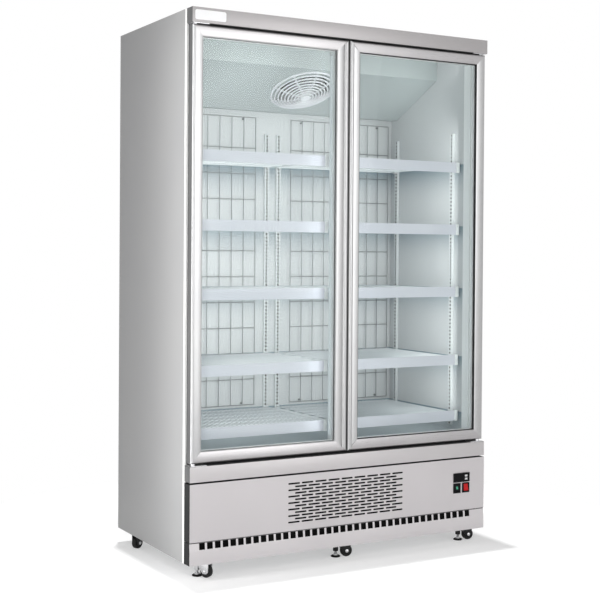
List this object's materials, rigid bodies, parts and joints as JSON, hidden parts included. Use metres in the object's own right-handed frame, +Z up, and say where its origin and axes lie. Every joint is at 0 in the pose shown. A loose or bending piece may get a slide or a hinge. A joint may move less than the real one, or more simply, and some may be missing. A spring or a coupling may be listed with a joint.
{
  "type": "refrigerated display cabinet",
  "caption": "Upright glass-door refrigerated display cabinet with twin doors, wire shelves, a grille panel with a thermostat and switches, casters and levelling feet",
  "frame": {"origin": "on the floor, under the middle of the cabinet's outline", "axes": "+X to the right, +Y to the back, +Z up; the doors face -Y"},
  "size_m": [1.26, 0.6798, 1.96],
  "materials": {
    "shell_paint": "satin silver-grey paint",
    "trim_paint": "satin light grey paint",
    "dark_steel": "matte dark paint",
    "galvanised": "dull zinc",
    "liner_sheet": "smooth white coating",
    "foam": "rigid foam, hidden between the skins",
    "white_plastic": "satin white",
    "light_diffuser": "frosted lens",
    "frame_aluminium": "satin silver anodised",
    "door_glazing": "clear",
    "seal_rubber": "soft matte black",
    "shelf_wire": "white plastic coating",
    "pilaster_steel": "white coated steel",
    "strip_plastic": "satin pale grey-blue",
    "black_plastic": "fine matte",
    "button_plastic": "satin white",
    "green_plastic": "translucent, lit",
    "red_plastic": "translucent, lit",
    "fin_aluminium": "thin fins",
    "motor_iron": "matte black",
    "compressor_paint": "gloss black enamel",
    "copper": "drawn copper tube",
    "caster_steel": "pressed, zinc plated",
    "wheel_rubber": "black"
  },
  "bodies": {
    "cabinet": {"left_side_panel": "shell_paint", "right_side_panel": "shell_paint", "top_panel": "shell_paint", "header_canopy": "trim_paint", "lower_rail": "trim_paint", "front_service_panel": "trim_paint", "kick_plate": "trim_paint", "back_panel": "galvanised", "base_tray": "galvanised", "condensate_tray": "galvanised", "hinge_brackets": "galvanised", "inner_liner": "liner_sheet", "evaporator_cover": "liner_sheet", "wall_insulation": "foam", "door_opening_frame": "white_plastic", "fan_guard": "white_plastic", "led_light_bars": "light_diffuser", "centre_mullion": "frame_aluminium", "left_shelves": "shelf_wire", "right_shelves": "shelf_wire", "back_wire_grids": "shelf_wire", "shelf_pilasters": "pilaster_steel", "shelf_clips": "pilaster_steel", "shelf_price_strips": "strip_plastic", "thermostat_housing": "black_plastic", "switch_bezels": "black_plastic", "cable_gland": "black_plastic", "evaporator_coil": "fin_aluminium", "condenser_coil": "fin_aluminium", "fan_motors": "motor_iron", "compressor": "compressor_paint", "refrigerant_pipes": "copper", "caster_plates": "caster_steel"},
    "left_door": {"left_door_frame": "frame_aluminium", "left_door_glass": "door_glazing", "left_door_seals": "seal_rubber"},
    "right_door": {"right_door_frame": "frame_aluminium", "right_door_glass": "door_glazing", "right_door_seals": "seal_rubber"},
    "evaporator_fan": {"evaporator_fan_blades": "black_plastic"},
    "condenser_fan": {"condenser_fan_blades": "black_plastic"},
    "button_up": {"thermostat_button_up": "button_plastic"},
    "button_down": {"thermostat_button_down": "button_plastic"},
    "green_switch": {"green_rocker": "green_plastic"},
    "red_switch": {"red_rocker": "red_plastic"},
    "swivel_front_left": {"caster_fork_front_left": "dark_steel"},
    "wheel_front_left": {"caster_wheel_front_left": "wheel_rubber"},
    "foot_front_left": {"levelling_foot_front_left": "caster_steel"},
    "swivel_front_centre": {"caster_fork_front_centre": "dark_steel"},
    "wheel_front_centre": {"caster_wheel_front_centre": "wheel_rubber"},
    "foot_front_centre": {"levelling_foot_front_centre": "caster_steel"},
    "swivel_front_right": {"caster_fork_front_right": "dark_steel"},
    "wheel_front_right": {"caster_wheel_front_right": "wheel_rubber"},
    "foot_front_right": {"levelling_foot_front_right": "caster_steel"},
    "swivel_rear_left": {"caster_fork_rear_left": "dark_steel"},
    "wheel_rear_left": {"caster_wheel_rear_left": "wheel_rubber"},
    "swivel_rear_centre": {"caster_fork_rear_centre": "dark_steel"},
    "wheel_rear_centre": {"caster_wheel_rear_centre": "wheel_rubber"},
    "swivel_rear_right": {"caster_fork_rear_right": "dark_steel"},
    "wheel_rear_right": {"caster_wheel_rear_right": "wheel_rubber"}
  },
  "joints": [
    {"name": "left_door_hinge", "type": "hinge", "parent": "cabinet", "child": "left_door", "pos_m": [-0.61, -0.3131, 1.15], "axis": [0, 0, -1], "range_deg": [0, 110]},
    {"name": "right_door_hinge", "type": "hinge", "parent": "cabinet", "child": "right_door", "pos_m": [0.61, -0.3131, 1.15], "axis": [0, 0, 1], "range_deg": [0, 110]},
    {"name": "evaporator_fan_spindle", "type": "hinge", "parent": "cabinet", "child": "evaporator_fan", "pos_m": [0.034, 0.06841, 1.77067], "axis": [0, 0.4293, 0.9032], "continuous": true},
    {"name": "condenser_fan_spindle", "type": "hinge", "parent": "cabinet", "child": "condenser_fan", "pos_m": [-0.02, -0.1481, 0.183], "axis": [0, 1, 0], "continuous": true},
    {"name": "button_up_press", "type": "slide", "parent": "cabinet", "child": "button_up", "axis": [0, 1, 0], "range_m": [0, 0.0008], "stiffness_N_per_m": 400},
    {"name": "button_down_press", "type": "slide", "parent": "cabinet", "child": "button_down", "axis": [0, 1, 0], "range_m": [0, 0.0008], "stiffness_N_per_m": 400},
    {"name": "green_switch_rock", "type": "hinge", "parent": "cabinet", "child": "green_switch", "pos_m": [0.499, -0.3281, 0.2225], "axis": [1, 0, 0], "range_deg": [0, 22]},
    {"name": "red_switch_rock", "type": "hinge", "parent": "cabinet", "child": "red_switch", "pos_m": [0.541, -0.3281, 0.2225], "axis": [1, 0, 0], "range_deg": [0, 22]},
    {"name": "swivel_front_left_turn", "type": "hinge", "parent": "cabinet", "child": "swivel_front_left", "pos_m": [-0.565, -0.2561, 0.05], "axis": [0, 0, 1], "continuous": true},
    {"name": "wheel_front_left_roll", "type": "hinge", "parent": "swivel_front_left", "child": "wheel_front_left", "pos_m": [-0.545, -0.29074, 0.022], "axis": [0.866, 0.5, 0], "continuous": true},
    {"name": "foot_front_left_screw", "type": "slide", "parent": "swivel_front_left", "child": "foot_front_left", "axis": [0, 0, 1], "range_m": [0, 0.01]},
    {"name": "swivel_front_centre_turn", "type": "hinge", "parent": "cabinet", "child": "swivel_front_centre", "pos_m": [0, -0.2561, 0.05], "axis": [0, 0, 1], "continuous": true},
    {"name": "wheel_front_centre_roll", "type": "hinge", "parent": "swivel_front_centre", "child": "wheel_front_centre", "pos_m": [0.03864, -0.26645, 0.022], "axis": [0.2588, 0.9659, 0], "continuous": true},
    {"name": "foot_front_centre_screw", "type": "slide", "parent": "swivel_front_centre", "child": "foot_front_centre", "axis": [0, 0, 1], "range_m": [0, 0.01]},
    {"name": "swivel_front_right_turn", "type": "hinge", "parent": "cabinet", "child": "swivel_front_right", "pos_m": [0.565, -0.2561, 0.05], "axis": [0, 0, 1], "continuous": true},
    {"name": "wheel_front_right_roll", "type": "hinge", "parent": "swivel_front_right", "child": "wheel_front_right", "pos_m": [0.60413, -0.26441, 0.022], "axis": [0.2079, 0.9781, 0], "continuous": true},
    {"name": "foot_front_right_screw", "type": "slide", "parent": "swivel_front_right", "child": "foot_front_right", "axis": [0, 0, 1], "range_m": [0, 0.01]},
    {"name": "swivel_rear_left_turn", "type": "hinge", "parent": "cabinet", "child": "swivel_rear_left", "pos_m": [-0.565, 0.2219, 0.05], "axis": [0, 0, 1], "continuous": true},
    {"name": "wheel_rear_left_roll", "type": "hinge", "parent": "swivel_rear_left", "child": "wheel_rear_left", "pos_m": [-0.60125, 0.205, 0.022], "axis": [0.4226, -0.9063, 0], "continuous": true},
    {"name": "swivel_rear_centre_turn", "type": "hinge", "parent": "cabinet", "child": "swivel_rear_centre", "pos_m": [0, 0.2219, 0.05], "axis": [0, 0, 1], "continuous": true},
    {"name": "wheel_rear_centre_roll", "type": "hinge", "parent": "swivel_rear_centre", "child": "wheel_rear_centre", "pos_m": [-0.03939, 0.21496, 0.022], "axis": [0.1736, -0.9848, 0], "continuous": true},
    {"name": "swivel_rear_right_turn", "type": "hinge", "parent": "cabinet", "child": "swivel_rear_right", "pos_m": [0.565, 0.2219, 0.05], "axis": [0, 0, 1], "continuous": true},
    {"name": "wheel_rear_right_roll", "type": "hinge", "parent": "swivel_rear_right", "child": "wheel_rear_right", "pos_m": [0.52636, 0.21155, 0.022], "axis": [0.2588, -0.9659, 0], "continuous": true}
  ]
}
